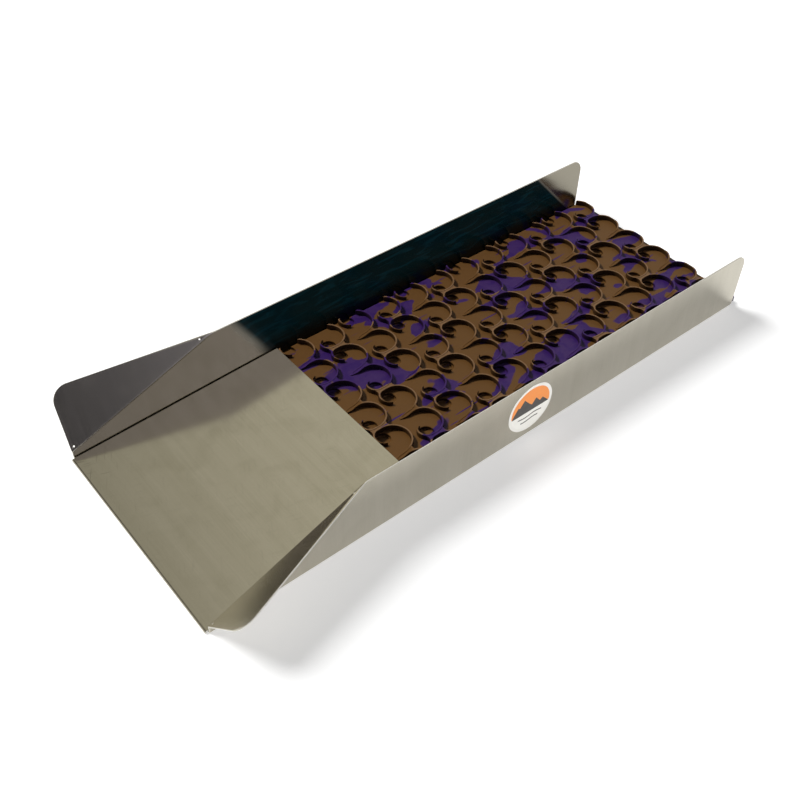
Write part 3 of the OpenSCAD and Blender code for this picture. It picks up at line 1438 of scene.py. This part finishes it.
@dataclass
class Studio:
    """A white table under soft lamps, and a dome that only shows in the metal."""

    bright: float = 1.14
    dim: float = 0.03
    horizon: float = 0.85
    front: float = 0.55
    bright_way: Point3 = (0.95, -0.10, 0.30)
    key: float = 3.1
    key_spread: float = math.radians(32)
    mat_key: float = 2.8
    mat_spread: float = math.radians(9)
    side: float = 1.9
    side_spread: float = math.radians(6)
    table_glow: float = 0.45
    table_reach: float = 4.0
    table_level: float = mm(-0.2)
    mouth_tint: Colour = (0.74, 0.72, 0.85, 1.0)
    outlet_tint: Colour = (1.0, 0.97, 0.84, 1.0)
    key_way: Point3 = (0.30, -0.60, -0.74)
    mat_way: Point3 = (0.26, -0.66, -0.70)
    side_way: Point3 = (0.15, 0.97, -0.19)
    focal_length: float = 44.28
    camera_place: Point3 = (-0.52673, -0.56993, 0.72883)
    camera_right: Point3 = (0.774498, -0.632359, 0.016588)
    camera_ahead: Point3 = (0.458013, 0.542490, -0.704223)

    def table(self) -> None:
        """Lays the white table top, which glows a little so that shadows on it stay pale."""
        far = self.table_reach
        corners = [(x * far, y * far, self.table_level)
                   for x, y in ((-1, -1), (1, -1), (1, 1), (-1, 1))]
        top = make_object("table_top", corners, [(0, 1, 2, 3)])
        material, tree = new_material("matt white laminate")
        surface(tree, {
            "Base Color": (0.93, 0.93, 0.93, 1.0), "Roughness": 0.9, "Specular IOR Level": 0.0,
            "Emission Color": (1.0, 1.0, 1.0, 1.0), "Emission Strength": self.table_glow,
        })
        top.data.materials.append(material)
        top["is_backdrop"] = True

    def dome(self) -> None:
        """Hangs the dome that the metal mirrors: dim behind the mouth, bright past the outlet."""
        world = bpy.data.worlds.new("studio dome")
        bpy.context.scene.world = world
        world.cycles_visibility.diffuse = False
        world.use_nodes = True
        tree = world.node_tree
        tree.nodes.clear()
        way = add_node(tree, "ShaderNodeTexCoord").outputs["Generated"]
        ahead = add_node(tree, "ShaderNodeVectorMath", {0: way, 1: self.bright_way},
                         operation="DOT_PRODUCT").outputs["Value"]
        glow = remap(tree, ahead, -0.15, 0.55, self.dim, self.bright, smooth=True)
        spot = parts(tree, way)
        across = spot["Y"]
        # Only the hook over the front lip turns far enough to mirror this part.
        front = remap(tree, spot["X"], -0.45, -0.65, 0.0, self.front, smooth=True)
        far_side = remap(tree, across, -0.3, 0.3, 1.0, 0.8)
        horizon = remap(tree, across, 0.74, 0.93, 0.0, self.horizon, smooth=True)
        tint = blend(tree, remap(tree, across, -0.3, 0.1), self.mouth_tint, self.outlet_tint)
        strength = maths(tree, "MULTIPLY_ADD", glow, far_side, maths(tree, "ADD", horizon, front))
        back = add_node(tree, "ShaderNodeBackground",
                        {"Color": tint, "Strength": strength}).outputs["Background"]
        add_node(tree, "ShaderNodeOutputWorld", {"Surface": back})

    def lamp(self, name: str, energy: float, spread: float, towards: Point3) -> bpy.types.Object:
        """Hangs one far, soft lamp that the metal doesn't mirror.

        Args:
            name: The lamp's name.
            energy: Its strength, in watts per square metre.
            spread: The angle that it is wide.
            towards: The direction in which it shines.

        Returns:
            The lamp.
        """
        lamp = bpy.data.lights.new(name, "SUN")
        lamp.energy = energy
        lamp.angle = spread
        holder = bpy.data.objects.new(name, lamp)
        holder.rotation_mode = "QUATERNION"
        holder.rotation_quaternion = Vector(towards).to_track_quat("-Z", "Y")
        holder.visible_glossy = False
        bpy.context.scene.collection.objects.link(holder)
        return holder

    def lights(self, mat: bpy.types.Object) -> None:
        """Lights the scene from high beyond the trough, and from low on its near side.

        Args:
            mat: The riffle mat, which has a lamp of its own that no wall shades.
        """
        only_mat = bpy.data.collections.new("lit by the mat's lamp")
        not_mat = bpy.data.collections.new("not lit by the key lamp")
        only_mat.objects.link(mat)
        not_mat.objects.link(mat)
        not_mat.collection_objects[0].light_linking.link_state = "EXCLUDE"
        key = self.lamp("key_lamp", self.key, self.key_spread, self.key_way)
        key.light_linking.receiver_collection = not_mat
        above = self.lamp("mat_lamp", self.mat_key, self.mat_spread, self.mat_way)
        above.light_linking.receiver_collection = only_mat
        above.light_linking.blocker_collection = only_mat
        self.lamp("side_lamp", self.side, self.side_spread, self.side_way)

    def camera(self) -> None:
        """Sets the camera where the trough is seen from above its near front corner."""
        lens = bpy.data.cameras.new("camera")
        lens.lens = self.focal_length
        lens.sensor_width = 36.0
        lens.clip_start = 0.05
        lens.clip_end = 20.0
        right = Vector(self.camera_right).normalized()
        ahead = Vector(self.camera_ahead).normalized()
        up = right.cross(ahead)
        turn = Matrix((right, up, -ahead)).transposed()
        holder = bpy.data.objects.new("camera", lens)
        holder.matrix_world = Matrix.Translation(self.camera_place) @ turn.to_4x4()
        bpy.context.scene.collection.objects.link(holder)
        bpy.context.scene.camera = holder


def settle(piece: bpy.types.Object, body: str, node: str | None = None) -> None:
    """Makes a piece ride on its body, in place of a CAD node if it has one, and logs it.

    Args:
        piece: The finished piece.
        body: The body it moves with.
        node: The node that it stands for.
    """
    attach(piece, body)
    if node:
        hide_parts(node)
    piece.data.calc_loop_triangles()
    LOG.info("%s: %d triangles, rides on %s", piece.name, len(piece.data.loop_triangles), body)


def main() -> None:
    """Builds every piece of the sluice box, then the studio round it."""
    logging.basicConfig(level=logging.INFO, format="%(name)s: %(message)s")
    bpy.context.scene.view_settings.view_transform = "Standard"
    low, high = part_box("trough")
    label_low, label_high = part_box("label")
    lip = low.x
    trough = Trough(thickness=mm(1.6), lip_x=lip, outlet_x=high.x, half_width=-label_high.y,
                    wall_height=high.z)
    settle(trough.build("folded_trough", MillAluminium(
        "mill-finish aluminium sheet", "BCB7A9", "AFAA9A")), "trough", "trough")
    # Painted reflection: thin skins on the walls' inner faces carry a dark teal that stands in for
    # the mat mirrored in the metal.
    skins = PaintedReflectionSkins(thickness=mm(0.05), edge_round=mm(0.01), sheared=False, trough=trough).build(
        "wall_film", MillAluminium("painted dark reflection on aluminium", "BCB7A9", "AFAA9A",
                                   gloss_level=0.12, film=PaintedReflectionAndScuffs(wall_foot=trough.across_at(0))))
    # The slick plate mirrors the bare wall, which the painted dark reflection would hide from it.
    skins.visible_glossy = False
    settle(skins, "trough")

    low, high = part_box("slick_plate")
    plate = SlickPlate(thickness=mm(1.5), lip_x=lip, rear_x=high.x, half_width=high.y, foot_z=low.z,
                       top_z=high.z)
    settle(plate.build("hooked_slick_plate", MillAluminium(
        "brushed aluminium sheet", "AEA99B", "9C9786", scratched=True)),
        "slick_plate", "slick_plate")

    low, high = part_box("riffle_mat")
    mat = RiffleMat(low, high, first_x=lip + mm(216.7), first_y=mm(109.2))
    moulded = mat.build(MouldedRubber())
    settle(moulded, "riffle_mat", "riffle_mat")

    centre = (label_low + label_high) / 2
    label = Label(Vector((centre.x, label_high.y, centre.z)), (label_high.x - label_low.x) / 2,
                  label_high.y - label_low.y)
    settle(label.build(), "trough", "label")

    studio = Studio()
    studio.table()
    studio.dome()
    studio.lights(moulded)
    studio.camera()
    low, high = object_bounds()


if __name__ == "__main__":
    main()
